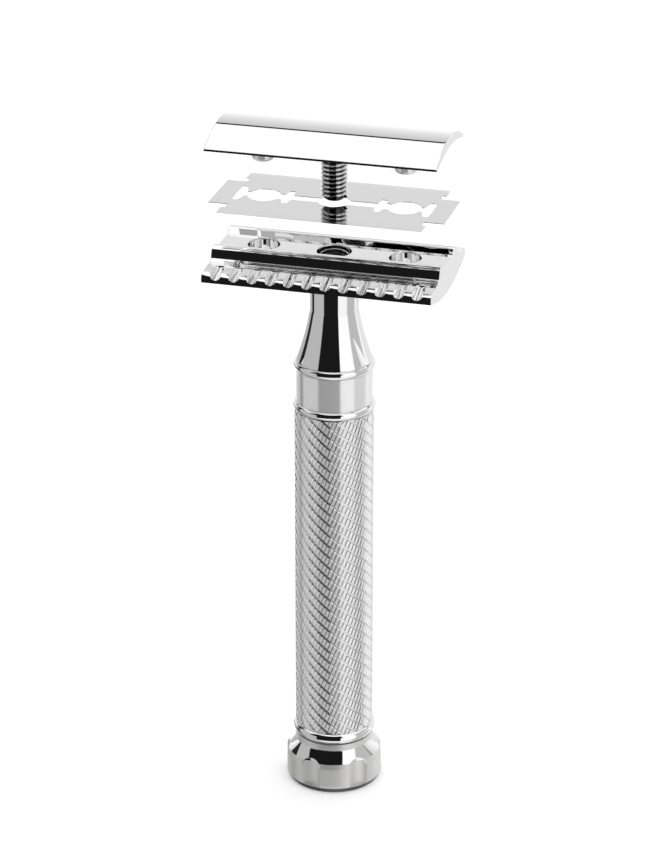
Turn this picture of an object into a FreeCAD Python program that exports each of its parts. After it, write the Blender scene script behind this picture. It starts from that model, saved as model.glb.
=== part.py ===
import FreeCAD, Part
import math
import os

# Double edge safety razor that closes by a knob at the end of its handle, drawn
# apart as when the blade is changed: the cap, with its stud and locating posts,
# floats over the blade, and the blade over the fixed guard plate. A draw nut in
# the neck, on a rod from the knob, pulls the stud and so the cap down.
# Millimetres. Origin at the centre of the foot, +Z up the handle, +X along the
# cutting edges, -Y the front.

V = FreeCAD.Vector

# ---- fits ----
running_gap = 0.05          # radial, between a turning piece and its bore
face_gap = 0.2              # between end faces that turn past each other
seat_gap = 0.05             # between the closed blade and the plate's ridges
blade_clear = 0.3           # between the closed cap's edges and the flat blade
washer_gap = 0.02           # between the draw nut and its thrust washer
hub_gap = 0.4               # radial, between the knob's hub and the tube, for the rubber ring
plate_hole_clear = 0.625    # radial, stud to the plate's middle hole
post_hole_clear = 0.8       # radial, post to its hole in the plate
blade_hole_clear = 0.5      # radial, stud to the blade's middle opening
blade_post_clear = 1.15     # post to the side of its slot in the blade
lip_clear = 0.3             # radial, stud to the neck's lip
head_recess_clear = 0.3     # radial, screw head to its recess

# ---- cap ----
head_length = 42.0
cap_width = 20.0
cap_height = 3.3
cap_edge_height = 0.4
cap_edge_wall = 0.7
cap_hollow = 1.45           # depth of the hollow underside at its middle
cap_end_round = 0.8
post_radius = 2.05
post_pitch = 13.05          # stud to post
post_drop = 4.1             # cap's lower edges to the posts' ends
post_round = 0.7
post_round_share = 0.3      # how far the rounding's middle point lies in from its corner
stud_crest = 2.45
thread_depth = 0.5
stud_pitch = 0.8
thread_flank_share = 0.35   # of the pitch
thread_crest_share = 0.15   # of the pitch
stud_drop = 10.2            # cap's lower edges to the stud's tip
stud_plain = 1.2            # unthreaded length under the cap
tip_chamfer = 0.5
tip_break = 0.2             # small chamfer at the stud's very end
root_sink = 0.5             # depth that stud and posts are set into the cap

# ---- foot and knob ----
foot_inset = 0.9            # the foot's rim in from the knob's
foot_height = 0.4
knob_radius = 9.1
knob_height = 9.0
knob_chamfer = 0.5
knob_chamfer_height = 0.6
land_height = 5.0           # knob underside to the top of its plain lands
land_bevel = 0.3
land_bevel_height = 0.6
waist_height = 1.2
cove_in_share = 0.38        # where the cove's middle point lies between its ends
cove_down_share = 0.55
flute_count = 6
flute_angle = 25.0          # degrees of the rim that one flute takes
flute_depth = 0.7
knob_phase = 15.5           # degrees that the first land is turned from the front
hub_height = 3.0
ring_wire = 0.5             # radius of the rubber ring's section
ring_rise = 1.65            # knob's top to the middle of the rubber ring

# ---- handle ----
nut_wall = 0.85
plug_wall = 0.95            # neck's plug around the draw nut
tube_wall = 1.2
grip_wall = 1.75
grip_length = 64.2
end_bead_height = 2.0
end_bead_stand = 0.45       # how far the bead's crest stands out of the grip
lower_bead_height = 1.6
lower_bead_stand = 0.3
band_height = 6.35
band_inset = 0.25           # the band's surface under the grip's
upper_bead_height = 1.65
upper_bead_stand = 0.2
bead_edge_drop = 0.35       # a bead's crest stands this far out of its edges
waist_inset = 0.45          # knob's waist under the end bead's crest
neck_height = 14.7
neck_straight = 5.0         # height of the nearly straight part under the plate
flare_hollow = 0.25         # how far the flare curves in from a plain cone
neck_plug_length = 8.0      # neck's plug down inside the core tube
tube_shoulder = 1.14        # collar band's top to the top of the core tube
spigot_wall = 0.65
spigot_shoulder = 0.45
neck_spigot_height = 3.5
neck_lip_height = 0.6

# ---- draw mechanism ----
rod_radius = 2.0
nut_length = 14.6
nut_thread_depth = 9.6
nut_socket_depth = 4.0
washer_height = 0.4
pin_radius = 0.6
pin_inset = 0.3             # pin's ends in from the nut's surface
bush_height = 6.0
bush_set_in = 0.8           # upper bush in from the plug's lower end
spring_washer_height = 0.7
spring_washer_wall = 0.25
spring_washer_lap = 0.4     # spring washer's rim beyond the clip's
clip_height = 0.8
clip_lap = 1.2              # clip's rim out of the rod's surface
clip_groove_depth = 0.4
clip_mouth_share = 0.8      # of the groove's diameter
rod_wall = 0.75             # rod around its tapped end
screw_head_lap = 1.45       # head's rim out of the screw's thread
screw_head_height = 1.8
screw_head_sink = 0.9       # screw's head above the knob's underside
screw_slot_width = 0.7
screw_slot_depth = 0.8
screw_length = 6.5          # under its head
knob_web = 1.0              # knob floor that the screw clamps

# ---- blade ----
blade_length = 43.0
blade_exposure = 1.0        # how far each cutting edge stands out of the cap
blade_thickness = 0.1
tab_reach = 2.9             # how far the end tabs stand out of the cutting edges
tab_width = 12.1
corner_slot = 1.9           # height of the slot between tab and edge
corner_slot_depth = 0.7
slot_half = 1.1
cross_slot_gap = 4.65       # post slot's middle to the cross slot's
cross_slot_width = 1.3
cross_slot_half = 3.1
post_slot_length = 5.6
end_slot_margin = 4.25      # tab's end to the end slot's middle
end_slot_width = 1.4
end_slot_half = 3.4

# ---- guard plate ----
guard_lead = 1.85           # how far each safety bar stands out past the cutting edge
plate_thickness = 5.6       # floor to the deepest point of the underside
plate_edge_drop = 3.4       # floor to the bar's lower edge
plate_pad_height = 0.3
plate_pad_margin = 0.25
floor_margin = 0.325        # floor beside its middle hole
ridge_run = 1.5             # floor's edge to the ridge's crest
ridge_height = 1.0
ridge_inner_run = 0.8       # crest back to the top of the ridge's inner wall
ridge_inner_share = 0.75    # of the ridge's height
shoulder_run = 1.4          # crest out to the ridge's shoulder
ridge_shoulder_height = 0.45
wall_run = 0.5              # shoulder out to the foot of the ridge's outer wall
wall_foot_drop = 0.8
bar_gap = 2.3               # foot of the wall to the safety bar
bar_inner_drop = 1.4
fillet_run = 0.6            # middle and end of the fillet between wall and bar
fillet_rise = 0.12
bar_round = 1.5             # width of the bar's rounded front
bar_round_share = 0.3
bar_face_top = 0.9          # height of the bar's plain front face
bar_slope_drop = 0.25
trough_end = 4.0            # plate's end to the trough's
trough_margin = 0.1         # wall's foot to the trough
trough_drop = 2.6
tooth_end = 2.2             # least plain length at each end of a safety bar
tooth_pitch = 3.33
notch_radius = 0.9
notch_drop = 1.55           # floor to the notch cutter's centre line
notch_lap = 0.1             # how far a notch opens into the trough

# ---- places of the loose pieces over the plate's floor ----
blade_lift = 9.2            # floor to the blade
cap_lift = 10.8             # blade to the cap's lower edges

# ---- radii and widths worked out from the sizes above ----
stud_root = stud_crest - thread_depth
nut_radius = stud_crest + nut_wall
nut_bore = nut_radius + running_gap
tube_bore = nut_bore + plug_wall
tube_outer = tube_bore + tube_wall
grip_radius = tube_outer + grip_wall
end_bead_crest = grip_radius + end_bead_stand
lower_bead_crest = grip_radius + lower_bead_stand
upper_bead_crest = grip_radius + upper_bead_stand
band_radius = grip_radius - band_inset
waist_radius = end_bead_crest - waist_inset
hub_radius = tube_bore - hub_gap
foot_radius = knob_radius - foot_inset
neck_spigot_radius = nut_bore + spigot_wall
neck_top_radius = neck_spigot_radius + spigot_shoulder
neck_lip_bore = stud_crest + lip_clear
clip_groove_radius = rod_radius - clip_groove_depth
clip_radius = rod_radius + clip_lap
screw_radius = rod_radius - rod_wall
screw_head_radius = screw_radius + screw_head_lap
screw_recess_radius = screw_head_radius + head_recess_clear
screw_recess_depth = screw_head_sink + screw_head_height
stud_hole_radius = stud_crest + blade_hole_clear
post_slot_half = post_radius + blade_post_clear
plate_hole_radius = stud_crest + plate_hole_clear
post_hole_radius = post_radius + post_hole_clear
blade_width = cap_width + 2 * blade_exposure
edge_length = blade_length - 2 * tab_reach
cross_slot_x = post_pitch - cross_slot_gap
end_slot_x = blade_length / 2 - end_slot_margin
plate_width = blade_width + 2 * guard_lead
floor_half = plate_hole_radius + floor_margin
ridge_y = floor_half + ridge_run
ridge_shoulder_y = ridge_y + shoulder_run
wall_foot_y = ridge_shoulder_y + wall_run
bar_inner_y = wall_foot_y + bar_gap
trough_length = head_length - 2 * trough_end
trough_width = bar_gap - trough_margin
tooth_count = int((head_length - 2 * tooth_end) / tooth_pitch)

# ---- heights worked out from the sizes above ----
knob_z = foot_height
knob_top = knob_z + knob_height
handle_z = knob_top + face_gap
grip_z = handle_z + end_bead_height
lower_bead_z = grip_z + grip_length
band_z = lower_bead_z + lower_bead_height
upper_bead_z = band_z + band_height
neck_z = upper_bead_z + upper_bead_height
seat_z = neck_z + neck_height
floor_z = seat_z + plate_pad_height + plate_thickness
tube_top = upper_bead_z - tube_shoulder
spigot_top = seat_z + neck_spigot_height
thrust_z = spigot_top - neck_lip_height
nut_top = thrust_z - washer_height - washer_gap
nut_z = nut_top - nut_length
rod_top = nut_z + nut_socket_depth
rod_z = knob_z + screw_recess_depth + knob_web
hub_top = knob_top + hub_height
lower_bush_z = hub_top + face_gap
spring_z = lower_bush_z + bush_height
clip_z = spring_z + spring_washer_height + face_gap
plug_z = tube_top - neck_plug_length
upper_bush_z = plug_z + bush_set_in
blade_z = floor_z + blade_lift
cap_z = blade_z + blade_thickness + cap_lift
cap_edge_z = cap_z + cap_edge_height
root_z = cap_z + cap_hollow
post_root_z = root_z + root_sink

blade_travel = blade_lift - ridge_height - seat_gap
cap_travel = cap_lift - blade_clear


def disc(radius, low, high, x=0.0, y=0.0):
    return Part.makeCylinder(radius, high - low, V(x, y, low))


def tube(inner, outer, low, high):
    return disc(outer, low, high).cut(disc(inner, low, high))


def block(x_size, y_size, low, high, x=0.0, y=0.0):
    corner = V(x - x_size / 2, y - y_size / 2, low)
    return Part.makeBox(x_size, y_size, high - low, corner)


def outline(place, start, steps):
    """A closed wire. A step is a point, or a pair (point on an arc, its end)."""
    edges = []
    here = place(*start)
    for step in steps:
        if isinstance(step[0], tuple):
            via, end = place(*step[0]), place(*step[1])
            edges.append(Part.Arc(here, via, end).toShape())
        else:
            end = place(*step)
            edges.append(Part.makeLine(here, end))
        here = end
    if here != place(*start):
        edges.append(Part.makeLine(here, place(*start)))
    return Part.Wire(edges)


def turned(start, *steps):
    """A solid of revolution about the handle's axis, from points (radius, height)."""
    wire = outline(lambda r, z: V(r, 0, z), start, steps)
    return Part.Face(wire).revolve(V(0, 0, 0), V(0, 0, 1), 360)


def bead(inner, crest, low, high):
    edge = crest - bead_edge_drop
    middle = (low + high) / 2
    return turned((inner, low), (edge, low), ((crest, middle), (edge, high)), (inner, high))


def along_x(length, start, *steps):
    """A bar along X, centred, from points (y, z)."""
    wire = outline(lambda y, z: V(-length / 2, y, z), start, steps)
    return Part.Face(wire).extrude(V(length, 0, 0))


def both_sides(shape):
    """The shape and its mirror image behind the handle's axis."""
    return [shape, shape.mirror(V(0, 0, 0), V(0, 1, 0))]


# ---- handle ----

def make_core_tube():
    return tube(tube_bore, tube_outer, handle_z, tube_top)


def make_grip_sleeve():
    return tube(tube_outer, grip_radius, grip_z, lower_bead_z)


def make_end_bead():
    return bead(tube_outer, end_bead_crest, handle_z, grip_z)


def make_lower_bead():
    return bead(tube_outer, lower_bead_crest, lower_bead_z, band_z)


def make_collar_band():
    return tube(tube_outer, band_radius, band_z, upper_bead_z)


def make_upper_bead():
    return bead(tube_outer, upper_bead_crest, upper_bead_z, neck_z)


def make_neck():
    """Flared neck: a plug in the core tube, a shoulder in the collar, the flare
    and a spigot up into the plate, bored for the draw nut and lipped over it."""
    straight_z = seat_z - neck_straight
    flare_middle = (neck_z + straight_z) / 2
    flare_radius = (band_radius + neck_top_radius) / 2 - flare_hollow
    return turned(
        (nut_bore, plug_z), (tube_bore, plug_z), (tube_bore, tube_top), (tube_outer, tube_top),
        (tube_outer, neck_z), (band_radius, neck_z),
        ((flare_radius, flare_middle), (neck_top_radius, straight_z)),
        (neck_top_radius, seat_z), (neck_spigot_radius, seat_z), (neck_spigot_radius, spigot_top),
        (neck_lip_bore, spigot_top), (neck_lip_bore, thrust_z), (nut_bore, thrust_z))


# ---- guard plate ----

def plate_section():
    """Half of the plate's section as points (y, z), from the floor's middle out to
    the bar's lower edge."""
    edge = plate_width / 2
    top = edge - bar_round
    face = floor_z - plate_edge_drop + bar_face_top
    bar_top = floor_z - bar_inner_drop
    slope_end = bar_top - bar_slope_drop
    return [
        (floor_half, floor_z),
        (ridge_y - ridge_inner_run, floor_z + ridge_inner_share * ridge_height),
        ((ridge_y, floor_z + ridge_height), (ridge_shoulder_y, floor_z + ridge_shoulder_height)),
        (wall_foot_y, floor_z - wall_foot_drop),
        ((wall_foot_y + fillet_run, bar_top + fillet_rise), (bar_inner_y - fillet_run, bar_top)),
        (top, slope_end),
        ((edge - bar_round_share * bar_round, slope_end + bar_round_share * (face - slope_end)), (edge, face)),
        (edge, floor_z - plate_edge_drop)]


def mirrored(points):
    """The section's points on the other side, walked back to the middle."""
    flip = lambda p: (-p[0], p[1])
    steps = []
    for index in range(len(points) - 1, 0, -1):
        here, before = points[index], points[index - 1]
        end = before[1] if isinstance(before[0], tuple) else before
        steps.append((flip(here[0]), flip(end)) if isinstance(here[0], tuple) else flip(end))
    return steps


def make_guard_plate():
    half = plate_section()
    edge = plate_width / 2
    low = floor_z - plate_edge_drop
    under = ((0.0, floor_z - plate_thickness), (-edge, low))
    plate = along_x(head_length, (0.0, floor_z), *half, under, *mirrored(half))
    pad_top = floor_z - plate_thickness / 2
    plate = plate.fuse(disc(neck_top_radius + plate_pad_margin, seat_z, pad_top))
    cuts = [disc(plate_hole_radius, seat_z, floor_z + 1), disc(neck_spigot_radius, seat_z, spigot_top)]
    for side in (-1, 1):
        cuts.append(disc(post_hole_radius, seat_z - 1, floor_z + 1, side * post_pitch))
    cuts += both_sides(make_trough_cutter())
    for index in range(tooth_count + 1):
        x = (index - tooth_count / 2) * tooth_pitch
        cuts += both_sides(make_notch_cutter(x))
    return plate.cut(cuts).removeSplitter()


def make_trough_cutter():
    low, high = floor_z - trough_drop, floor_z
    y = bar_inner_y - trough_width / 2
    straight = trough_length - trough_width
    ends = [disc(trough_width / 2, low, high, side * straight / 2, y) for side in (-1, 1)]
    return block(straight, trough_width, low, high, 0, y).fuse(ends)


def make_notch_cutter(x):
    z = floor_z - notch_drop
    start = bar_inner_y - notch_lap
    reach = plate_width / 2 - start + 1
    round_part = Part.makeCylinder(notch_radius, reach, V(x, start, z), V(0, 1, 0))
    return round_part.fuse(block(2 * notch_radius, reach, z, floor_z + 1, x, start + reach / 2))


# ---- blade ----

def make_blade():
    low, high = blade_z, blade_z + blade_thickness
    blade = block(edge_length, blade_width, low, high).fuse(block(blade_length, tab_width, low, high))
    cuts = [block(2 * end_slot_x, 2 * slot_half, low, high), disc(stud_hole_radius, low, high)]
    for side in (-1, 1):
        cuts.append(block(cross_slot_width, 2 * cross_slot_half, low, high, side * cross_slot_x))
        cuts.append(block(end_slot_width, 2 * end_slot_half, low, high, side * end_slot_x))
        cuts.append(make_post_slot(side * post_pitch, low, high))
        for back in (-1, 1):
            x = side * (edge_length - corner_slot_depth) / 2
            y = back * (tab_width + corner_slot) / 2
            cuts.append(block(corner_slot_depth, corner_slot, low, high, x, y))
    return blade.cut(cuts).removeSplitter()


def make_post_slot(x, low, high):
    """Lens-shaped slot around a locating post."""
    start, end = (-post_slot_length / 2, 0.0), (post_slot_length / 2, 0.0)
    there = ((0.0, post_slot_half), end)
    back = ((0.0, -post_slot_half), start)
    wire = outline(lambda u, v: V(x + u, v, low), start, [there, back])
    return Part.Face(wire).extrude(V(0, 0, high - low))


# ---- cap ----

def make_cap():
    half = cap_width / 2
    inner = half - cap_edge_wall
    cap = along_x(
        head_length, (-half, cap_z), (-half, cap_edge_z),
        ((0.0, cap_z + cap_height), (half, cap_edge_z)), (half, cap_z), (inner, cap_z),
        ((0.0, root_z), (-inner, cap_z)))
    crown = [e for e in cap.Edges if abs(abs(e.CenterOfMass.x) - head_length / 2) < 0.01
             and e.BoundBox.ZMax > cap_z + cap_height - 0.01]
    cap = cap.makeFillet(cap_end_round, crown)
    roots = [disc(stud_root, cap_z, post_root_z)]
    for side in (-1, 1):
        roots.append(disc(post_radius, cap_z, post_root_z, side * post_pitch))
    return cap.cut(roots)


def make_cap_stud():
    """Stud with its thread as rings of the real pitch, and a plain root set in
    the cap."""
    tip = cap_z - stud_drop
    top = root_z - stud_plain
    turns = int((top - tip - tip_chamfer) / stud_pitch)
    flank, crest = thread_flank_share * stud_pitch, thread_crest_share * stud_pitch
    steps = [(stud_root - tip_break, tip), (stud_root, tip + tip_break)]
    for index in range(turns):
        low = top - (turns - index) * stud_pitch
        steps += [(stud_root, low), (stud_crest, low + flank),
                  (stud_crest, low + flank + crest), (stud_root, low + 2 * flank + crest)]
    steps += [(stud_root, post_root_z), (0.0, post_root_z)]
    return turned((0.0, tip), *steps)


def make_locating_posts():
    low = cap_z - post_drop
    posts = []
    for side in (-1, 1):
        post = turned((0.0, low), (post_radius - post_round, low),
                      ((post_radius - post_round_share * post_round, low + post_round_share * post_round),
                       (post_radius, low + post_round)),
                      (post_radius, post_root_z), (0.0, post_root_z))
        posts.append(post.translated(V(side * post_pitch, 0, 0)))
    return Part.makeCompound(posts)


# ---- draw mechanism ----

def make_thrust_washer():
    return tube(neck_lip_bore, nut_radius, thrust_z - washer_height, thrust_z)


def make_draw_nut():
    nut = disc(nut_radius, nut_z, nut_top)
    thread = disc(stud_crest + running_gap, nut_top - nut_thread_depth, nut_top)
    socket = disc(rod_radius, nut_z, rod_top)
    return nut.cut([thread, socket, nut_pin_shape()])


def nut_pin_shape():
    z = nut_z + nut_socket_depth / 2
    length = 2 * (nut_radius - pin_inset)
    return Part.makeCylinder(pin_radius, length, V(-length / 2, 0, z), V(1, 0, 0))


def make_draw_rod():
    rod = disc(rod_radius, rod_z, rod_top)
    groove = tube(clip_groove_radius, rod_radius, clip_z, clip_z + clip_height)
    tapped = disc(screw_radius, rod_z, rod_z - knob_web + screw_length)
    return rod.cut([groove, tapped, nut_pin_shape()])


def make_upper_bush():
    return tube(rod_radius + running_gap, nut_bore, upper_bush_z, upper_bush_z + bush_height)


def make_lower_bush():
    return tube(rod_radius + running_gap, tube_bore, lower_bush_z, spring_z)


def make_spring_washer():
    """Dished washer that keeps a light drag on the rod."""
    inner, outer = rod_radius + 2 * running_gap, clip_radius + spring_washer_lap
    rise, wall = spring_washer_height - spring_washer_wall, spring_washer_wall
    return turned((inner, spring_z + rise), (outer, spring_z),
                  (outer, spring_z + wall), (inner, spring_z + rise + wall))


def make_retaining_clip():
    ring = tube(clip_groove_radius, clip_radius, clip_z, clip_z + clip_height)
    mouth_width = 2 * clip_mouth_share * clip_groove_radius
    mouth = block(2 * clip_radius, mouth_width, clip_z, clip_z + clip_height, clip_radius)
    return ring.cut(mouth)


def make_rubber_ring():
    ring_radius = tube_bore - running_gap - ring_wire
    return Part.makeTorus(ring_radius, ring_wire, V(0, 0, knob_top + ring_rise), V(0, 0, 1))


# ---- knob and foot ----

def make_knob():
    """Knob with six plain lands between hollow flutes, a coved waist and a hub that
    turns in the core tube."""
    land_top = knob_z + land_height
    bevel_radius = knob_radius - land_bevel
    bevel_top = land_top + land_bevel_height
    waist_z = knob_top - waist_height
    cove = ((waist_radius + cove_in_share * (bevel_radius - waist_radius),
             waist_z - cove_down_share * (waist_z - bevel_top)), (waist_radius, waist_z))
    knob = turned(
        (0.0, knob_z), (knob_radius - knob_chamfer, knob_z),
        (knob_radius, knob_z + knob_chamfer_height), (knob_radius, land_top),
        (bevel_radius, bevel_top), cove, (waist_radius, knob_top),
        (hub_radius, knob_top), (hub_radius, hub_top), (0.0, hub_top))
    cuts = [make_flute_cutter(knob_phase + (index + 0.5) * 360.0 / flute_count)
            for index in range(flute_count)]
    cuts += [disc(rod_radius, rod_z, hub_top), disc(screw_radius, knob_z, rod_z),
             disc(screw_recess_radius, knob_z, knob_z + screw_recess_depth), make_rubber_ring()]
    return knob.cut(cuts)


def make_flute_cutter(turn):
    """Upright cutter whose round side leaves a hollow of flute_depth in the rim."""
    half = math.radians(flute_angle / 2)
    chord = knob_radius * math.sin(half)
    sag = knob_radius * math.cos(half) - (knob_radius - flute_depth)
    radius = (chord * chord + sag * sag) / (2 * sag)
    angle = math.radians(turn - 90)
    reach = knob_radius - flute_depth + radius
    return disc(radius, knob_z - 1, knob_top, reach * math.cos(angle), reach * math.sin(angle))


def make_knob_screw():
    head_top = knob_z + screw_recess_depth
    head_z = head_top - screw_head_height
    head = disc(screw_head_radius, head_z, head_top)
    slot = block(3 * screw_head_radius, screw_slot_width, head_z, head_z + screw_slot_depth)
    return head.fuse(disc(screw_radius, head_top, head_top + screw_length)).cut(slot)


def make_foot_disc():
    return disc(foot_radius, 0, foot_height)


parts = {
    "cap": make_cap(),
    "cap_stud": make_cap_stud(),
    "locating_posts": make_locating_posts(),
    "blade": make_blade(),
    "guard_plate": make_guard_plate(),
    "neck": make_neck(),
    "upper_bead": make_upper_bead(),
    "collar_band": make_collar_band(),
    "lower_bead": make_lower_bead(),
    "grip_sleeve": make_grip_sleeve(),
    "core_tube": make_core_tube(),
    "end_bead": make_end_bead(),
    "upper_bush": make_upper_bush(),
    "lower_bush": make_lower_bush(),
    "spring_washer": make_spring_washer(),
    "thrust_washer": make_thrust_washer(),
    "draw_nut": make_draw_nut(),
    "nut_pin": nut_pin_shape(),
    "draw_rod": make_draw_rod(),
    "retaining_clip": make_retaining_clip(),
    "rubber_ring": make_rubber_ring(),
    "knob": make_knob(),
    "knob_screw": make_knob_screw(),
    "foot_disc": make_foot_disc(),
}

os.makedirs("parts", exist_ok=True)
for name, shape in parts.items():
    shape.exportStep("parts/" + name + ".step")
    print(name, "valid" if shape.isValid() else "INVALID", len(shape.Solids), round(shape.Volume, 2))
print("floor", floor_z, "blade", blade_z, "cap", cap_z, "top", cap_z + cap_height)
print("blade travel", blade_travel, "cap travel", cap_travel)
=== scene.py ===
import math

import bmesh
import bpy
from bpy.props import FloatProperty, FloatVectorProperty, IntProperty, PointerProperty
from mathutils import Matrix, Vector


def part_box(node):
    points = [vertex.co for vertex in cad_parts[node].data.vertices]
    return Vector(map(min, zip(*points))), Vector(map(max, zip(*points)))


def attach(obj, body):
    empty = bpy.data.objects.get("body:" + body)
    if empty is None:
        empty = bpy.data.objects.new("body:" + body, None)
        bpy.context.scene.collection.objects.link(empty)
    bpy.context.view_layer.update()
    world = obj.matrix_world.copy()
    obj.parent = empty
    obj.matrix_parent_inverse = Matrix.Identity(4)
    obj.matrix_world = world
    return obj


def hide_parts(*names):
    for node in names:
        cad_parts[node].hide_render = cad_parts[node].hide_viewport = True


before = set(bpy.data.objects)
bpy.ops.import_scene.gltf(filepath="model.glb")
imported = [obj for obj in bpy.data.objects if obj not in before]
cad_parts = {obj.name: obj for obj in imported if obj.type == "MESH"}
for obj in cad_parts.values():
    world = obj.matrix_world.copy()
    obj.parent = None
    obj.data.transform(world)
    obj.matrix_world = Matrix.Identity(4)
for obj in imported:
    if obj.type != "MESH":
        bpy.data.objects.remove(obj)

bl_info = {
    "name": "Safety razor",
    "version": (1, 0, 0),
    "blender": (4, 5, 0),
    "location": "View3D > Sidebar > Razor",
    "description": "Builds a double edge safety razor around its packed parts",
    "category": "Add Mesh",
}

MM = 0.001
AXIS = Vector((0.0, 0.0, 1.0))
ORIGIN = Vector((0.0, 0.0, 0.0))
GRIP_SURFACE = 0.00725
LATHE_STEPS = 192
FINE_LATHE_STEPS = 360


def low_high(node):
    """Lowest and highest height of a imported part, in millimetres."""
    low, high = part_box(node)
    return low.z / MM, high.z / MM


FOOT_Z, KNOB_Z = low_high("foot_disc")
KNOB_TOP = 9.4
GRIP_Z = low_high("end_bead")[1]
LOWER_BEAD_Z, BAND_Z = low_high("lower_bead")
UPPER_BEAD_Z, NECK_Z = low_high("upper_bead")
SEAT_Z = low_high("guard_plate")[0]
CAP_Z, CAP_TOP = low_high("cap")
STUD_Z = low_high("cap_stud")[0]
POST_Z = low_high("locating_posts")[0]
PLATE_DEPTH = 5.9
FLOOR_Z = SEAT_Z + PLATE_DEPTH
TUBE_SHOULDER = 1.14
TUBE_RADIUS = 5.5


# ---- shader graphs -------------------------------------------------------


class Wire:
    """A node's output that can stand in a sum; each sign adds a Math node."""

    def __init__(self, graph, socket):
        self.graph, self.socket = graph, socket

    def math(self, operation, *values):
        return self.graph.add("ShaderNodeMath", {"operation": operation}, dict(enumerate(values)))

    def __add__(self, other):
        return self.math("ADD", self, other)

    def __sub__(self, other):
        return self.math("SUBTRACT", self, other)

    def __rsub__(self, other):
        return self.math("SUBTRACT", other, self)

    def __mul__(self, other):
        return self.math("MULTIPLY", self, other)

    __radd__, __rmul__ = __add__, __mul__

    def of(self, operation, *others):
        return self.math(operation, self, *others)


class Graph:
    """The nodes of one material or of the surroundings."""

    def __init__(self, tree):
        self.tree = tree
        tree.nodes.clear()

    def add(self, kind, settings=None, values=None, output=0):
        """A node of this kind with its settings made first, then its sockets."""
        node = self.tree.nodes.new(kind)
        for name, setting in (settings or {}).items():
            setattr(node, name, setting)
        for key, value in (values or {}).items():
            if isinstance(value, Wire):
                self.tree.links.new(value.socket, node.inputs[key])
            else:
                node.inputs[key].default_value = value
        return Wire(self, node.outputs[output]) if node.outputs else None

    def rise(self, value, low, high, start=0.0, end=1.0):
        """A smooth step from start to end as the value goes from low to high."""
        settings = {"interpolation_type": "SMOOTHSTEP"}
        values = {0: value, 1: low, 2: high, 3: start, 4: end}
        return self.add("ShaderNodeMapRange", settings, values)

    def between(self, value, low, high, soft):
        """One between low and high, nought outside, softened at both."""
        up = self.rise(value, low - soft, low + soft)
        return up * self.rise(value, high - soft, high + soft, 1.0, 0.0)

    def place(self):
        """The piece's own coordinates in metres, as a vector and its three parts."""
        point = self.add("ShaderNodeTexCoord", output=3)
        return [point] + self.parts(point)

    def parts(self, vector):
        node = self.tree.nodes.new("ShaderNodeSeparateXYZ")
        self.tree.links.new(vector.socket, node.inputs[0])
        return [Wire(self, output) for output in node.outputs]

    def stretch(self, point, scale):
        return self.add("ShaderNodeMapping", {"vector_type": "POINT"}, {0: point, 3: scale})

    def grain(self, point, scale, detail=3.0, roughness=0.6):
        values = {"Vector": point, "Scale": scale, "Detail": detail, "Roughness": roughness}
        return self.add("ShaderNodeTexNoise", {"noise_dimensions": "3D"}, values)

    def colour_mix(self, share, first, second):
        settings = {"data_type": "RGBA"}
        return self.add("ShaderNodeMix", settings, {0: share, 6: first, 7: second}, output=2)

    def bump(self, height, strength, depth):
        values = {"Strength": strength, "Distance": depth, "Height": height}
        return self.add("ShaderNodeBump", None, values)


def rgba(colour):
    return (colour[0], colour[1], colour[2], 1.0)


def new_material(name, constants, surface):
    """A Principled material. surface(graph) returns what changes over it."""
    name += "_finish"
    found = bpy.data.materials.get(name)
    if found:
        return found
    material = bpy.data.materials.new(name)
    material.use_nodes = True
    graph = Graph(material.node_tree)
    values = dict(constants)
    values.update(surface(graph))
    shader = graph.add("ShaderNodeBsdfPrincipled", None, values)
    graph.add("ShaderNodeOutputMaterial", None, {0: shader})
    return material


def around(x, y):
    """Length round the handle's axis, in metres at the grip's surface."""
    return x.of("ARCTAN2", y) * GRIP_SURFACE


def polished_chrome():
    """Mirror plating with the faintest polishing marks and a breath of haze."""
    colours = bpy.context.scene.razor_finish

    def surface(graph):
        point = graph.place()[0]
        haze = graph.grain(point, 90.0)
        marks = graph.grain(graph.stretch(point, (300.0, 4000.0, 4000.0)), 1.0, 2.0)
        tone = graph.colour_mix(haze, rgba(colours.chrome), rgba([c * 0.97 for c in colours.chrome]))
        return {
            "Base Color": tone,
            "Roughness": haze * 0.012 + 0.012,
            "Normal": graph.bump(marks, 0.006, 0.00001),
        }

    return new_material("polished_chrome", {"Metallic": 1.0}, surface)


def satin_chrome(name, colour, roughness):
    """Plating over a fine turned finish, with marks that run round the axis."""

    def surface(graph):
        point, x, y, z = graph.place()
        unrolled = graph.add("ShaderNodeCombineXYZ", None, {0: around(x, y) * 120.0, 2: z * 9000.0})
        turning = graph.grain(unrolled, 1.0)
        haze = graph.grain(point, 160.0)
        tone = graph.colour_mix(haze, rgba(colour), rgba([c * 0.93 for c in colour]))
        return {
            "Base Color": tone,
            "Roughness": haze * 0.04 + turning * 0.06 + roughness,
            "Normal": graph.bump(turning, 0.12, 0.00002),
        }

    return new_material(name, {"Metallic": 0.5}, surface)


def knurled_chrome():
    """Plating over rolled metal: dull on the raised scales, bright down their sides, with painted shade darkening
    the colour between the scales.
    """
    colours = bpy.context.scene.razor_finish

    def surface(graph):
        point, x, y, z = graph.place()
        radius = (x * x + y * y).of("SQRT")
        crest = graph.rise(radius, 0.00722, 0.00725)
        haze = graph.grain(point, 900.0)
        # painted shade: the colour is darker below the scales' crests, in the grooves between them
        tone = graph.colour_mix(crest, rgba([c * 0.8 for c in colours.knurl]), rgba(colours.knurl))
        return {
            "Base Color": tone,
            "Metallic": 0.96 - crest * 0.46,
            "Roughness": haze * 0.05 + crest * 0.15 + 0.12,
            "Normal": graph.bump(haze, 0.06, 0.00003),
        }

    return new_material("knurled_chrome", {}, surface)


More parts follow.
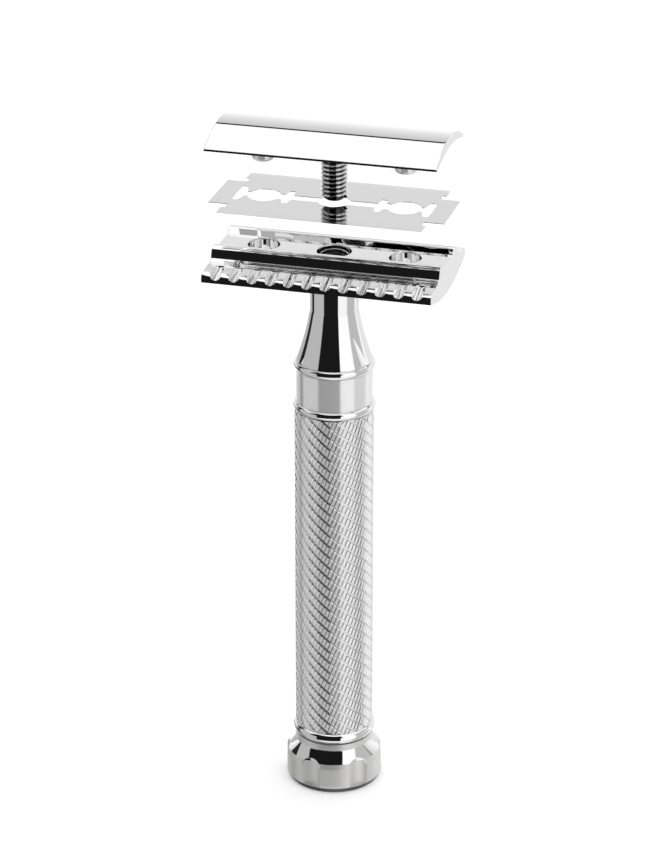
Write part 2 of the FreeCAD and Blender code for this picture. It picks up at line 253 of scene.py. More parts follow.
def blade_steel():
    """Rolled strip, ground to a bevel with cross marks along both cutting edges."""
    colours = bpy.context.scene.razor_finish

    def surface(graph):
        point, x, y, z = graph.place()
        ground = graph.rise(y.of("ABSOLUTE"), 0.0097, 0.0099)
        rolled = graph.grain(graph.stretch(point, (60.0, 5000.0, 60.0)), 1.0)
        strokes = graph.grain(graph.stretch(point, (7000.0, 120.0, 60.0)), 1.0)
        marks = ground * strokes + (1.0 - ground) * rolled
        dull = rgba([c * 0.85 for c in colours.ground_edge])
        edge = graph.colour_mix(strokes, rgba(colours.ground_edge), dull)
        return {
            "Base Color": graph.colour_mix(ground, rgba(colours.strip), edge),
            "Roughness": ground * 0.10 + marks * 0.02 + 0.015,
            "Normal": graph.bump(marks, 0.02, 0.00001),
        }

    return new_material("blade_steel", {"Metallic": 1.0}, surface)


def inner_metal(name, colour, roughness):
    """Turned and unplated metal of a part inside the handle."""

    def surface(graph):
        point, x, y, z = graph.place()
        turning = graph.grain(graph.stretch(point, (300.0, 300.0, 8000.0)), 1.0)
        stain = graph.grain(point, 220.0)
        dull = rgba([c * 0.8 for c in colour])
        return {
            "Base Color": graph.colour_mix(stain, rgba(colour), dull),
            "Roughness": turning * 0.15 + roughness,
            "Normal": graph.bump(turning, 0.15, 0.00003),
        }

    return new_material(name, {"Metallic": 1.0}, surface)


def inner_polymer(name, colour, roughness):
    """Moulded plastic or rubber with a fine mottle."""

    def surface(graph):
        point = graph.place()[0]
        mottle = graph.grain(point, 1200.0)
        return {
            "Base Color": graph.colour_mix(mottle, rgba(colour), rgba([c * 0.85 for c in colour])),
            "Roughness": mottle * 0.1 + roughness,
            "Normal": graph.bump(mottle, 0.15, 0.00003),
        }

    return new_material(name, {"Metallic": 0.0}, surface)


# ---- drawing and turning ---------------------------------------------------


def circle_through(first, second, third):
    """Centre of the circle, and the turn from the first point by the second to the third."""
    (ax, ay), (bx, by), (cx, cy) = first, second, third
    double = 2 * (ax * (by - cy) + bx * (cy - ay) + cx * (ay - by))
    a, b, c = ax * ax + ay * ay, bx * bx + by * by, cx * cx + cy * cy
    x = (a * (by - cy) + b * (cy - ay) + c * (ay - by)) / double
    y = (a * (cx - bx) + b * (ax - cx) + c * (bx - ax)) / double
    start, middle, end = (math.atan2(q - y, p - x) for p, q in (first, second, third))
    turn = (end - start) % math.tau
    if (middle - start) % math.tau > turn:
        turn -= math.tau
    return (x, y), turn


class Line:
    """A line drawn in a bmesh: straight runs, and arcs made by spinning its end."""

    def __init__(self, place, normal, start):
        self.mesh = bmesh.new()
        self.place, self.normal = place, normal
        self.here = start
        self.first = self.tip = self.mesh.verts.new(place(*start))

    def to(self, *points):
        for point in points:
            vert = self.mesh.verts.new(self.place(*point))
            self.mesh.edges.new((self.tip, vert))
            self.tip, self.here = vert, point
        return self

    def arc(self, via, end, steps):
        centre, turn = circle_through(self.here, via, end)
        made = bmesh.ops.spin(
            self.mesh, geom=[self.tip], cent=self.place(*centre), axis=self.normal, angle=turn, steps=steps)
        self.tip = [v for v in made["geom_last"] if isinstance(v, bmesh.types.BMVert)][0]
        self.here = end
        return self

    def close(self):
        if (self.tip.co - self.first.co).length > 1e-5:
            self.mesh.edges.new((self.tip, self.first))
        bmesh.ops.remove_doubles(self.mesh, verts=self.mesh.verts[:], dist=1e-5)
        return self.mesh


def turned_line(start):
    """A line of points (radius, height) to be turned about the handle's axis."""
    return Line(lambda r, z: Vector((r, 0.0, z)), Vector((0.0, -1.0, 0.0)), start)


def section_line(x, start):
    """A line of points (y, z) across the head, standing at x."""
    return Line(lambda y, z: Vector((x, y, z)), Vector((1.0, 0.0, 0.0)), start)


def turn(mesh, steps=LATHE_STEPS):
    """Turn the line right round the handle's axis."""
    geom = mesh.verts[:] + mesh.edges[:]
    bmesh.ops.spin(mesh, geom=geom, cent=ORIGIN, axis=AXIS, angle=math.tau, steps=steps, use_merge=True)
    clean(mesh)
    return mesh


def clean(mesh):
    bmesh.ops.remove_doubles(mesh, verts=mesh.verts[:], dist=2e-4)
    bmesh.ops.recalc_face_normals(mesh, faces=mesh.faces[:])


def ease(mesh, width, steps=2, angle=20.0, where=None):
    """Round the sharp edges, or those of them that where(edge) picks."""
    sharp = math.radians(angle)
    edges = [e for e in mesh.edges if e.is_manifold and e.calc_face_angle(0.0) > sharp]
    if where:
        edges = [e for e in edges if where(e)]
    bmesh.ops.bevel(
        mesh, geom=edges, offset=width, offset_type="OFFSET", segments=steps, profile=0.5,
        affect="EDGES", clamp_overlap=True, material=-1)
    return mesh


def move_copy(mesh, shift):
    made = bmesh.ops.duplicate(mesh, geom=mesh.verts[:] + mesh.edges[:] + mesh.faces[:])
    verts = [v for v in made["geom"] if isinstance(v, bmesh.types.BMVert)]
    bmesh.ops.translate(mesh, verts=verts, vec=shift)
    return verts


def as_object(name, mesh):
    """The bmesh, drawn in millimetres, as an object in metres."""
    bmesh.ops.scale(mesh, vec=(MM, MM, MM), verts=mesh.verts[:])
    data = bpy.data.meshes.new(name)
    mesh.to_mesh(data)
    mesh.free()
    piece = bpy.data.objects.new(name, data)
    bpy.context.scene.collection.objects.link(piece)
    return piece


def combine(piece, other, operation):
    """Cut the other shape from the piece, or add it, and drop the other."""
    modifier = piece.modifiers.new("cut", "BOOLEAN")
    modifier.operation = operation
    modifier.solver = "MANIFOLD"
    modifier.object = other
    graph = bpy.context.evaluated_depsgraph_get()
    data = bpy.data.meshes.new_from_object(piece.evaluated_get(graph))
    piece.modifiers.clear()
    piece.data = data
    bpy.data.objects.remove(other)
    return piece


def finish(piece, body, nodes, material, sharp=35.0):
    """Give a piece its shading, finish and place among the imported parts."""
    piece.data.shade_smooth()
    piece.data.set_sharp_from_angle(angle=math.radians(sharp))
    piece.data.materials.clear()
    piece.data.materials.append(material)
    weighted = piece.modifiers.new("flat faces stay flat", "WEIGHTED_NORMAL")
    weighted.keep_sharp = True
    weighted.weight = 95
    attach(piece, body)
    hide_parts(*nodes)
    return piece


# ---- settings --------------------------------------------------------------


def length(name, millimetres, description):
    return FloatProperty(
        name=name, description=description, default=millimetres * MM, min=0.0, unit="LENGTH", precision=5)


def colour(name, value, description):
    return FloatVectorProperty(
        name=name, description=description, default=value, subtype="COLOR", size=3, min=0.0, max=1.0)


class RazorHeadSizes(bpy.types.PropertyGroup):
    length: length("Head length", 42.0, "Length of the cap and the guard plate")
    cap_width: length("Cap width", 20.0, "Width of the cap across its edges")
    cap_end_round: length("Cap end round", 0.8, "Rounding of the cap's upper ends")
    cap_hollow: length("Cap hollow", 1.45, "Depth of the hollow under the cap")
    post_radius: length("Post radius", 2.05, "Radius of the locating posts")
    post_pitch: length("Post pitch", 13.05, "Distance from the stud to a post")
    stud_crest: length("Stud crest", 2.45, "Radius over the stud's thread")
    stud_root: length("Stud root", 1.95, "Radius under the stud's thread")
    stud_pitch: length("Thread pitch", 0.8, "Rise of the stud's thread in one turn")
    plate_width: length("Plate width", 25.7, "Width of the guard plate over its bars")
    tooth_pitch: length("Tooth pitch", 3.33, "Distance between the safety bar's teeth")
    notch_radius: length("Notch radius", 0.86, "Radius of the notches between the teeth")
    notches: IntProperty(name="Notches", description="Notches along each safety bar", default=12, min=1)


class RazorHandleSizes(bpy.types.PropertyGroup):
    grip_radius: length("Grip radius", 7.25, "Radius of the grip over its knurling")
    knurl_depth: length("Knurl depth", 0.09, "Height of the knurling's scales")
    knurl_rise: length("Knurl rise", 2.17, "Length of one scale along the grip")
    knurl_columns: IntProperty(name="Knurl columns", description="Scales round the grip", default=72, min=8)
    knob_radius: length("Knob radius", 9.1, "Radius of the knob over its lands")
    flute_depth: length("Flute depth", 0.8, "Depth of the hollow flutes in the knob")
    flutes: IntProperty(name="Flutes", description="Flutes round the knob", default=6, min=3)


class RazorFinish(bpy.types.PropertyGroup):
    chrome: colour("Chrome", (0.90, 0.90, 0.905), "Bright plating")
    satin: colour("Satin chrome", (0.79, 0.785, 0.775), "Dull plating of the knob's rim")
    collar: colour("Collar", (0.95, 0.95, 0.95), "Fine plating of the collar band and the posts")
    stud: colour("Stud", (0.84, 0.84, 0.85), "Plating of the threaded stud")
    knurl: colour("Knurling", (0.96, 0.96, 0.96), "Plating of the knurled grip")
    strip: colour("Blade strip", (0.78, 0.78, 0.78), "Rolled steel of the blade")
    ground_edge: colour("Ground edge", (0.86, 0.86, 0.86), "Ground bevels of the blade")
    brass: colour("Brass", (0.78, 0.58, 0.28), "Core tube")
    foot: colour("Foot", (0.13, 0.133, 0.142), "Dark steel of the foot disc")
    steel: colour("Stainless steel", (0.62, 0.61, 0.59), "Draw nut, rod, pin, washers, clip and screw")
    acetal: colour("Acetal", (0.80, 0.79, 0.74), "Bushes in the core tube")
    rubber: colour("Rubber", (0.02, 0.02, 0.02), "Ring round the knob's hub")


# ---- head ------------------------------------------------------------------


def crosswise(mesh, line, steps, width):
    """Carry a line along X in equal steps, and give the line at the far end."""
    shift = Vector((width / steps, 0.0, 0.0))
    made = bmesh.ops.spin(mesh, geom=line, cent=ORIGIN, axis=AXIS, angle=0.0, steps=steps, dvec=shift)
    return made["geom_last"]


class RAZOR_OT_cap(bpy.types.Operator):
    """Crowned cap, hollow underneath, with rounded ends"""

    bl_idname = "razor.cap"
    bl_label = "Cap"

    def execute(self, context):
        size = context.scene.razor_head
        half, long = size.cap_width / MM / 2, size.length / MM
        edge_top, inner = CAP_Z + 0.4, half - 0.7
        line = section_line(-long / 2, (-half, CAP_Z)).to((-half, edge_top))
        line.arc((0.0, CAP_TOP), (half, edge_top), 96).to((half, CAP_Z), (inner, CAP_Z))
        line.arc((0.0, CAP_Z + size.cap_hollow / MM), (-inner, CAP_Z), 48)
        mesh = line.close()
        face = bmesh.ops.contextual_create(mesh, geom=mesh.edges[:])["faces"]
        made = bmesh.ops.extrude_face_region(mesh, geom=face)
        verts = [v for v in made["geom"] if isinstance(v, bmesh.types.BMVert)]
        bmesh.ops.translate(mesh, verts=verts, vec=(long, 0.0, 0.0))
        bmesh.ops.recalc_face_normals(mesh, faces=mesh.faces[:])

        def crown_end(edge):
            middle = (edge.verts[0].co + edge.verts[1].co) / 2
            at_end = abs(abs(middle.x) - long / 2) < 1e-3
            return at_end and middle.z > max(edge_top + 0.02, self.crown(middle.y, half, edge_top) - 0.05)

        ease(mesh, size.cap_end_round / MM, 6, 60.0, crown_end)
        ease(mesh, 0.06, 3, 40.0)
        piece = as_object("cap_shell", mesh)
        finish(piece, "cap", ["cap"], polished_chrome())
        return {"FINISHED"}

    def crown(self, y, half, edge_top):
        """Height of the crown at y."""
        rise = CAP_TOP - edge_top
        radius = (half * half + rise * rise) / (2 * rise)
        return CAP_TOP - radius + math.sqrt(max(radius * radius - y * y, 0.0))


class RAZOR_OT_stud(bpy.types.Operator):
    """Stud with a helical thread, hanging from the cap"""

    bl_idname = "razor.stud"
    bl_label = "Threaded stud"

    def execute(self, context):
        size = context.scene.razor_head
        root, crest, pitch = size.stud_root / MM, size.stud_crest / MM, size.stud_pitch / MM
        top = CAP_Z + 1.9
        core = turned_line((0.0, STUD_Z)).to(
            (root - 0.45, STUD_Z), (root, STUD_Z + 0.4), (root, top), (0.0, top))
        mesh = turn(core.mesh, 64)
        start = STUD_Z + 0.15
        turns = int((CAP_Z + 0.6 - start) / pitch)
        ridge = turned_line((root - 0.1, start)).to(
            (crest - 0.04, start + 0.36 * pitch), (crest, start + 0.42 * pitch), (crest, start + 0.5 * pitch),
            (crest - 0.04, start + 0.56 * pitch), (root - 0.1, start + 0.92 * pitch))
        thread = ridge.close()
        geom = thread.verts[:] + thread.edges[:]
        steps = 48
        bmesh.ops.spin(
            thread, geom=geom, cent=ORIGIN, axis=AXIS, angle=math.tau * turns, steps=steps * turns,
            dvec=Vector((0.0, 0.0, pitch / steps)))
        bmesh.ops.holes_fill(thread, edges=thread.edges[:], sides=0)
        bmesh.ops.recalc_face_normals(thread, faces=thread.faces[:])
        data = bpy.data.meshes.new("thread")
        thread.to_mesh(data)
        thread.free()
        mesh.from_mesh(data)
        bpy.data.meshes.remove(data)
        piece = as_object("threaded_stud", mesh)
        finish(piece, "cap", ["cap_stud"], self.thread_chrome_painted_root_shade(context, root, crest), 50.0)
        return {"FINISHED"}

    def thread_chrome_painted_root_shade(self, context, root, crest):
        """Plating with painted shade: the colour is full on the thread's crest and painted dark down in its root.
        """
        bright = context.scene.razor_finish.stud

        def surface(graph):
            point, x, y, z = graph.place()
            radius = (x * x + y * y).of("SQRT")
            # painted shade: the colour darkens towards the thread's root, where shade falls in the grooves
            unshaded_share = graph.rise(radius, (root + 0.02) * MM, (crest - 0.12) * MM)
            stain = graph.grain(point, 500.0)
            return {
                "Base Color": graph.colour_mix(unshaded_share, rgba([c * 0.07 for c in bright]), rgba(bright)),
                "Roughness": stain * 0.06 + 0.05,
                "Normal": graph.bump(stain, 0.05, 0.00001),
            }

        return new_material("thread", {"Metallic": 1.0}, surface)


class RAZOR_OT_posts(bpy.types.Operator):
    """Two round-nosed posts that locate the blade"""

    bl_idname = "razor.posts"
    bl_label = "Locating posts"

    def execute(self, context):
        size = context.scene.razor_head
        radius, nose = size.post_radius / MM, 0.7
        line = turned_line((0.0, POST_Z)).to((radius - nose, POST_Z))
        bend = nose * (1 - math.sqrt(0.5))
        set_in = CAP_Z + 1.2
        line.arc((radius - bend, POST_Z + bend), (radius, POST_Z + nose), 8)
        line.to((radius, set_in), (0.0, set_in))
        mesh = turn(line.mesh, 64)
        pitch = size.post_pitch / MM
        bmesh.ops.translate(mesh, verts=mesh.verts[:], vec=(-pitch, 0.0, 0.0))
        move_copy(mesh, (2 * pitch, 0.0, 0.0))
        piece = as_object("locating_pins", mesh)
        satin = satin_chrome("posts", context.scene.razor_finish.collar, 0.14)
        finish(piece, "cap", ["locating_posts"], satin)
        return {"FINISHED"}


class RAZOR_OT_blade(bpy.types.Operator):
    """Thin double edge blade with its patterned slot and ground edges"""

    bl_idname = "razor.blade"
    bl_label = "Blade"

    half_strip = 18.6
    tabs = (43.0, 12.1)
    corner = (1.4, 1.9)
    corner_y = 7.0

    def execute(self, context):
        low, high = low_high("blade")
        middle = (low + high) / 2
        blade = as_object("razor_blade", self.strip(low, high, middle))
        combine(blade, self.slab("tabs", *self.tabs, low, high), "UNION")
        combine(blade, self.slot(low - 1, high + 1), "DIFFERENCE")
        for side in (-1, 1):
            for back in (-1, 1):
                place = (side * self.half_strip, back * self.corner_y)
                combine(blade, self.slab("corner_slot", *self.corner, low - 1, high + 1, *place), "DIFFERENCE")
        finish(blade, "blade", ["blade"], blade_steel(), 25.0)
        return {"FINISHED"}

    def strip(self, low, high, middle):
        """The strip between the cutting edges, ground thin towards both."""
        keen, start = 11.0, 9.8
        line = section_line(-self.half_strip, (-keen, middle)).to(
            (-start, low), (start, low), (keen, middle), (start, high), (-start, high))
        mesh = line.close()
        face = bmesh.ops.contextual_create(mesh, geom=mesh.edges[:])["faces"]
        made = bmesh.ops.extrude_face_region(mesh, geom=face)
        verts = [v for v in made["geom"] if isinstance(v, bmesh.types.BMVert)]
        bmesh.ops.translate(mesh, verts=verts, vec=(2 * self.half_strip, 0.0, 0.0))
        bmesh.ops.recalc_face_normals(mesh, faces=mesh.faces[:])
        return mesh

    def slab(self, name, x_size, y_size, low, high, x=0.0, y=0.0):
        mesh = bmesh.new()
        bmesh.ops.create_cube(mesh, size=1.0)
        bmesh.ops.scale(mesh, vec=(x_size, y_size, high - low), verts=mesh.verts[:])
        bmesh.ops.translate(mesh, vec=(x, y, (low + high) / 2), verts=mesh.verts[:])
        return as_object(name, mesh)

    def slot(self, low, high):
        """The patterned slot down the blade's middle: one quarter, then its mirror images."""
        quarter = [
            ((1.3, 2.55), (2.7, 1.1)), (7.7, 1.1), (7.95, 3.1), (8.95, 3.1), (9.3, 1.4), (10.2, 1.35),
            ((13.05, 3.2), (15.7, 1.05)), (16.2, 1.0), (16.9, 3.4), (17.5, 3.6), (17.95, 3.2), (18.05, 0.0)]
        line = Line(lambda x, y: Vector((x, y, low)), AXIS, (0.0, 2.95))
        self.walk(line, quarter, 1, 1)
        self.walk(line, self.backwards(quarter, (0.0, 2.95)), 1, -1)
        self.walk(line, quarter, -1, -1)
        self.walk(line, self.backwards(quarter, (0.0, 2.95)), -1, 1)
        mesh = line.close()
        face = bmesh.ops.contextual_create(mesh, geom=mesh.edges[:])["faces"]
        made = bmesh.ops.extrude_face_region(mesh, geom=face)
        verts = [v for v in made["geom"] if isinstance(v, bmesh.types.BMVert)]
        bmesh.ops.translate(mesh, verts=verts, vec=(0.0, 0.0, high - low))
        bmesh.ops.recalc_face_normals(mesh, faces=mesh.faces[:])
        return as_object("slot", mesh)

    def walk(self, line, steps, flip_x, flip_y):
        """Draw the steps with their signs turned; a pair is an arc's middle and end."""
        for step in steps:
            if isinstance(step[0], tuple):
                via, end = [(flip_x * x, flip_y * y) for x, y in step]
                line.arc(via, end, 10)
            else:
                line.to((flip_x * step[0], flip_y * step[1]))

    def backwards(self, steps, start):
        """The same outline walked from its far end back to the start."""
        ends = [start] + [step[1] if isinstance(step[0], tuple) else step for step in steps]
        turned_back = []
        for index in range(len(steps) - 1, -1, -1):
            step = steps[index]
            turned_back.append((step[0], ends[index]) if isinstance(step[0], tuple) else ends[index])
        return turned_back


class RAZOR_OT_plate(bpy.types.Operator):
    """Guard plate with two ridges, lather troughs and toothed safety bars"""

    bl_idname = "razor.plate"
    bl_label = "Guard plate"

    def execute(self, context):
        size = context.scene.razor_head
        mesh = self.bar(size)
        ends = size.length / MM / 2
        ease(mesh, 0.2, 4, 60.0, lambda e: all(abs(abs(v.co.x) - ends) < 1e-3 for v in e.verts))
        self.cut_notches(mesh, size)
        plate = as_object("guard", mesh)
        for cutter in self.cutters(size):
            combine(plate, cutter, "DIFFERENCE")
        mesh = bmesh.new()
        mesh.from_mesh(plate.data)
        bmesh.ops.dissolve_limit(
            mesh, angle_limit=math.radians(0.2), use_dissolve_boundaries=False, verts=mesh.verts[:],
            edges=mesh.edges[:])
        mesh.to_mesh(plate.data)
        mesh.free()
        finish(plate, "handle", ["guard_plate"], polished_chrome(), 30.0)
        return {"FINISHED"}

    def bar(self, size):
        """The plate's section carried along X, in fine steps over the teeth."""
        edge, z = size.plate_width / MM / 2, FLOOR_Z
        half = size.length / MM / 2
        line = section_line(-half, (-3.4, z)).to((3.4, z), (4.1, z + 0.75))
        line.arc((4.9, z + 1.0), (6.3, z + 0.45), 14).to((6.8, z - 0.8))
        line.arc((7.4, z - 1.28), (8.5, z - 1.4), 10)
        line.to((8.97, z - 1.44), (9.05, z - 1.45), (10.2, z - 1.55), (11.35, z - 1.65))
        line.arc((12.4, z - 1.905), (edge, z - 2.5), 14)
        line.to((edge, z - 2.8), (edge, z - 3.1), (edge, z - 3.4))
        line.arc((0.0, z - 5.6), (-edge, z - 3.4), 48)
        line.to((-edge, z - 3.1), (-edge, z - 2.8), (-edge, z - 2.5))
        line.arc((-12.4, z - 1.905), (-11.35, z - 1.65), 14)
        line.to((-10.2, z - 1.55), (-9.05, z - 1.45), (-8.97, z - 1.44), (-8.5, z - 1.4))
        line.arc((-7.4, z - 1.28), (-6.8, z - 0.8), 10).to((-6.3, z + 0.45))
        line.arc((-4.9, z + 1.0), (-4.1, z + 0.75), 14)
        mesh = line.close()
        toothed = size.notches * size.tooth_pitch / MM / 2
        there = crosswise(mesh, mesh.verts[:] + mesh.edges[:], 2, half - toothed)
        there = crosswise(mesh, there, size.notches * 24, 2 * toothed)
        crosswise(mesh, there, 2, half - toothed)
        bmesh.ops.holes_fill(mesh, edges=mesh.edges[:], sides=0)
        clean(mesh)
        return mesh

    def cut_notches(self, mesh, size):
        """Lower the bars to each notch, which deepens outwards, with eased shoulders."""
        pitch, radius = size.tooth_pitch / MM, size.notch_radius / MM
        bar_start, bar_foot = 9.0, FLOOR_Z - 3.05
        inner_edge, fall, blend = 9.3, 0.28, 0.2
        steep = 0.88 * radius
        slope = steep / math.sqrt(radius * radius - steep * steep)
        reach = size.notches * pitch / 2
        for vert in mesh.verts:
            if abs(vert.co.y) < bar_start or vert.co.z < bar_foot or abs(vert.co.x) > reach:
                continue
            across = abs((vert.co.x + reach) % pitch - pitch / 2)
            near = min(across, steep)
            centre = FLOOR_Z - 1.8 + radius - fall * (abs(vert.co.y) - inner_edge)
            floor = centre - math.sqrt(radius * radius - near * near) + slope * (across - near)
            share = max(blend - abs(vert.co.z - floor), 0.0) / blend
            vert.co.z = min(vert.co.z, floor) - share * share * blend / 4

    def cutters(self, size):
        """The three holes, the neck's seat and the two troughs."""
        pitch = size.post_pitch / MM
        stud_way, neck_seat, post_way = 3.075, 4.0, 2.85
        yield self.hole("stud_way", stud_way, 0.0, neck_seat)
        yield self.hole("left_post_way", post_way, -pitch, post_way)
        yield self.hole("right_post_way", post_way, pitch, post_way)
        for side in (-1, 1):
            yield self.trough(side)

    def hole(self, name, radius, x, seat):
        lip, top = 0.22, FLOOR_Z + 0.002
        line = turned_line((0.0, SEAT_Z - 2.0)).to((seat, SEAT_Z - 2.0), (seat, SEAT_Z + 3.5))
        if seat > radius:
            line.to((radius, SEAT_Z + 3.5))
        line.to((radius, top - lip))
        bend = lip * (1 - math.sqrt(0.5))
        line.arc((radius + bend, top - bend), (radius + lip, top), 6)
        line.to((radius + lip, top + 2.0), (0.0, top + 2.0))
        mesh = turn(line.mesh, 96)
        bmesh.ops.translate(mesh, verts=mesh.verts[:], vec=(x, 0.0, 0.0))
        return as_object(name, mesh)

    def trough(self, side):
        """A round-ended slot with a rounded bottom."""
        long, wide, low = 34.0, 2.2, FLOOR_Z - 2.6
        mesh = bmesh.new()
        bmesh.ops.create_cone(mesh, cap_ends=True, segments=48, radius1=wide / 2, radius2=wide / 2, depth=4.0)
        bmesh.ops.bisect_plane(
            mesh, geom=mesh.verts[:] + mesh.edges[:] + mesh.faces[:], dist=1e-5, plane_co=ORIGIN,
            plane_no=(1.0, 0.0, 0.0))
        for vert in mesh.verts:
            if abs(vert.co.x) > 1e-4:
                vert.co.x += math.copysign(long / 2 - wide / 2, vert.co.x)
        bmesh.ops.translate(mesh, verts=mesh.verts[:], vec=(0.0, side * (9.1 - wide / 2), low + 2.0))
        ease(mesh, 0.45, 5, 60.0, lambda e: all(abs(v.co.z - low) < 1e-3 for v in e.verts))
        return as_object("trough", mesh)


class RAZOR_OT_neck(bpy.types.Operator):
    """Flared neck between the collar and the guard plate"""

    bl_idname = "razor.neck"
    bl_label = "Neck"

    def execute(self, context):
        low = low_high("neck")[0]
        shoulder = UPPER_BEAD_Z - TUBE_SHOULDER
        straight = SEAT_Z - 5.0
        spigot = SEAT_Z + 3.5
        lip = spigot - 0.6
        plug, foot, top, seat, bore, lip_bore = 4.3, 7.0, 4.45, 4.0, 3.35, 2.75
        line = turned_line((bore, low)).to(
            (plug, low), (plug, shoulder), (TUBE_RADIUS, shoulder), (TUBE_RADIUS, NECK_Z), (foot, NECK_Z))
        line.arc(((foot + top) / 2 - 0.25, (NECK_Z + straight) / 2), (top, straight), 40)
        line.to(
            (top, SEAT_Z), (seat, SEAT_Z), (seat, spigot), (lip_bore, spigot), (lip_bore, lip), (bore, lip))
        mesh = ease(turn(line.close()), 0.08, 3, 30.0)
        finish(as_object("flared_neck", mesh), "handle", ["neck"], polished_chrome())
        return {"FINISHED"}


# ---- handle ----------------------------------------------------------------


class RAZOR_OT_collar(bpy.types.Operator):
    """Plain collar band between two half-round beads, and the bead at the knob"""

    bl_idname = "razor.collar"
    bl_label = "Collar and beads"

    def execute(self, context):
        beads = [
            ("upper_ring", "upper_bead", 7.45), ("lower_ring", "lower_bead", 7.55), ("end_ring", "end_bead", 7.7)]
        for name, node, crest in beads:
            low, high = low_high(node)
            edge = crest - 0.6
            line = turned_line((TUBE_RADIUS, low)).to((edge, low))
            line.arc((crest, (low + high) / 2), (edge, high), 14).to((TUBE_RADIUS, high))
            mesh = ease(turn(line.close()), 0.06, 3, 30.0)
            finish(as_object(name, mesh), "handle", [node], polished_chrome())
        band = 7.0
        line = turned_line((TUBE_RADIUS, BAND_Z)).to(
            (band, BAND_Z), (band, UPPER_BEAD_Z), (TUBE_RADIUS, UPPER_BEAD_Z))
        mesh = ease(turn(line.close()), 0.06, 2, 30.0)
        tones = context.scene.razor_finish
        satin = satin_chrome("collar", tones.collar, 0.11)
        finish(as_object("collar", mesh), "handle", ["collar_band"], satin)
        return {"FINISHED"}


class RAZOR_OT_grip(bpy.types.Operator):
    """Grip sleeve with rolled knurling of slanted scales"""

    bl_idname = "razor.grip"
    bl_label = "Knurled grip"

    def execute(self, context):
        size = context.scene.razor_handle
        radius, depth = size.grip_radius / MM, size.knurl_depth / MM
        root = radius - depth
        line = turned_line((TUBE_RADIUS, GRIP_Z)).to(
            (root - 0.1, GRIP_Z), (root, GRIP_Z + 0.1), (root, LOWER_BEAD_Z - 0.1), (root - 0.1, LOWER_BEAD_Z),
            (TUBE_RADIUS, LOWER_BEAD_Z))
        mesh = turn(line.close(), 144)
        scales = self.scales(size, root - 0.02, radius)
        data = bpy.data.meshes.new("scales")
        scales.to_mesh(data)
        scales.free()
        mesh.from_mesh(data)
        bpy.data.meshes.remove(data)
        finish(as_object("grip", mesh), "handle", ["grip_sleeve"], knurled_chrome(), 12.0)
        return {"FINISHED"}

    def scales(self, size, root, crest):
        """Four columns of scales, each a quarter lower than the last, copied round."""
        rise = size.knurl_rise / MM
        low, high = GRIP_Z + 0.2, LOWER_BEAD_Z - 0.2
        step = math.tau / size.knurl_columns
        mesh = bmesh.new()
        for column in range(4):
            for index in range(-1, int((high - low) / rise) + 1):
                middle = high - (index + 0.5 + column / 4) * rise
                if low - 0.3 * rise < middle < high + 0.3 * rise:
                    self.scale_at(mesh, column * step, middle, rise, step, root, crest)
        bmesh.ops.spin(
            mesh, geom=mesh.verts[:] + mesh.edges[:] + mesh.faces[:], cent=ORIGIN, axis=AXIS,
            angle=math.tau - 4 * step, steps=size.knurl_columns // 4 - 1, use_duplicate=True)
        return mesh

    def scale_at(self, mesh, turn_angle, middle, rise, step, root, crest):
        """One slanted scale with a sharp ridge: a squared block pulled to shape."""
        made = bmesh.ops.create_cube(mesh, size=1.0)
        corner = {(-1, -1): (0.0, -0.5), (1, -1): (1.0, 0.25), (1, 1): (0.0, 0.5), (-1, 1): (-1.0, -0.25)}
        for vert in made["verts"]:
            key = (round(math.copysign(1, vert.co.x)), round(math.copysign(1, vert.co.y)))
            across, along = corner[key]
            top = vert.co.z > 0
            share = 0.64 if top else 0.98
            angle = turn_angle + across * share * step
            radius = crest if top else root
            height = min(max(middle + along * share * rise, GRIP_Z + 0.05), LOWER_BEAD_Z - 0.05)
            vert.co = (radius * math.sin(angle), -radius * math.cos(angle), height)


